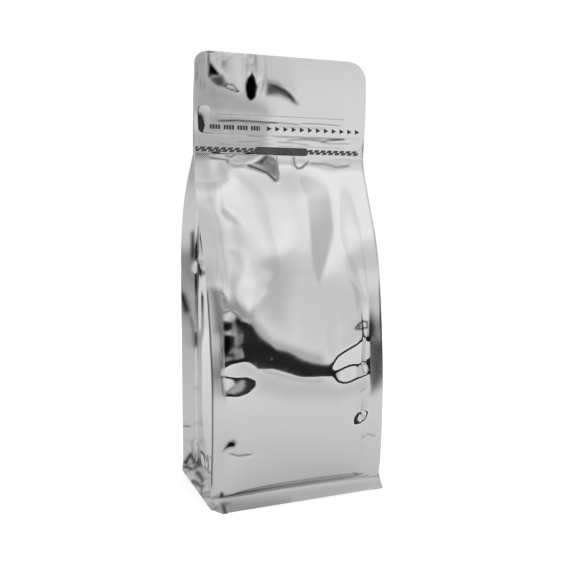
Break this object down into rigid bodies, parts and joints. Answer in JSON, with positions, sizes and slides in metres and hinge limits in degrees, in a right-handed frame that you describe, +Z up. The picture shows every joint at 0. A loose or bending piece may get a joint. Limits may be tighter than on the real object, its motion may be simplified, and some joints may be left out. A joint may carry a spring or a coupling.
{
  "type": "flat-bottom bag",
  "caption": "Filled flat-bottom pouch of silver metallised film with side gussets, corner seals, a flat sealed header and a pull tab over its pocket zipper.",
  "frame": {"origin": "middle of the base, on the surface that the bag stands on", "axes": "+Z up, +X along the bag's width to the right as seen from its front, -Y towards the front panel with the pull tab"},
  "size_m": [0.11, 0.08, 0.265],
  "materials": {
    "metallised_film": "bright metallised plastic film, slightly hazed and creased",
    "strip_film": "the same metallised film with small black print"
  },
  "bodies": {
    "root": {"bag": "metallised_film", "tear_strip": "strip_film"}
  },
  "joints": []
}
